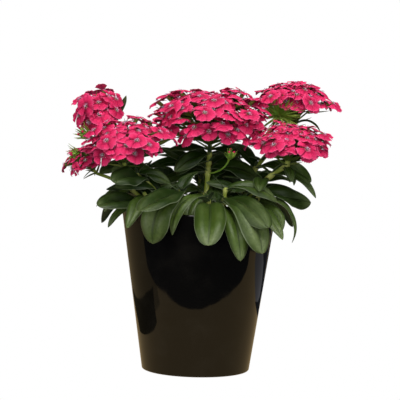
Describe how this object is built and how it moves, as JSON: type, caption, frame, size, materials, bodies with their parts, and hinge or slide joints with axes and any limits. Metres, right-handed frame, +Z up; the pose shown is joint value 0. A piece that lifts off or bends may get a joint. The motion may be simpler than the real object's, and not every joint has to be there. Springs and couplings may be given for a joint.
{
  "type": "potted dianthus",
  "caption": "Dwarf sweet-william type dianthus with domed heads of small deep-pink florets, leafy stems and drooping lower leaves, growing in a round glossy black tapered pot.",
  "frame": {"origin": "centre of the pot's flat underside", "axes": "+Z up along the pot's axis; -Y towards the viewer of the picture, +X to the viewer's right"},
  "size_m": [0.2458, 0.2006, 0.2585],
  "materials": {
    "pot": "gloss",
    "compost": "matte",
    "foliage": "satin",
    "petals": "matte"
  },
  "bodies": {
    "root": {"pot": "pot", "soil": "compost", "head_centre": "petals", "head_left_front": "petals", "head_right_front": "petals", "head_right_back": "petals", "head_left_back": "petals", "head_left_low": "petals", "stem_centre": "foliage", "stem_left_front": "foliage", "stem_right_front": "foliage", "stem_right_back": "foliage", "stem_left_back": "foliage", "stem_left_low": "foliage", "shoot_front": "foliage", "shoot_front_right": "foliage", "shoot_front_left": "foliage", "shoot_left": "foliage", "shoot_right": "foliage", "shoot_back_right": "foliage", "shoot_back": "foliage", "shoot_back_left": "foliage", "shoot_middle": "foliage"}
  },
  "joints": []
}
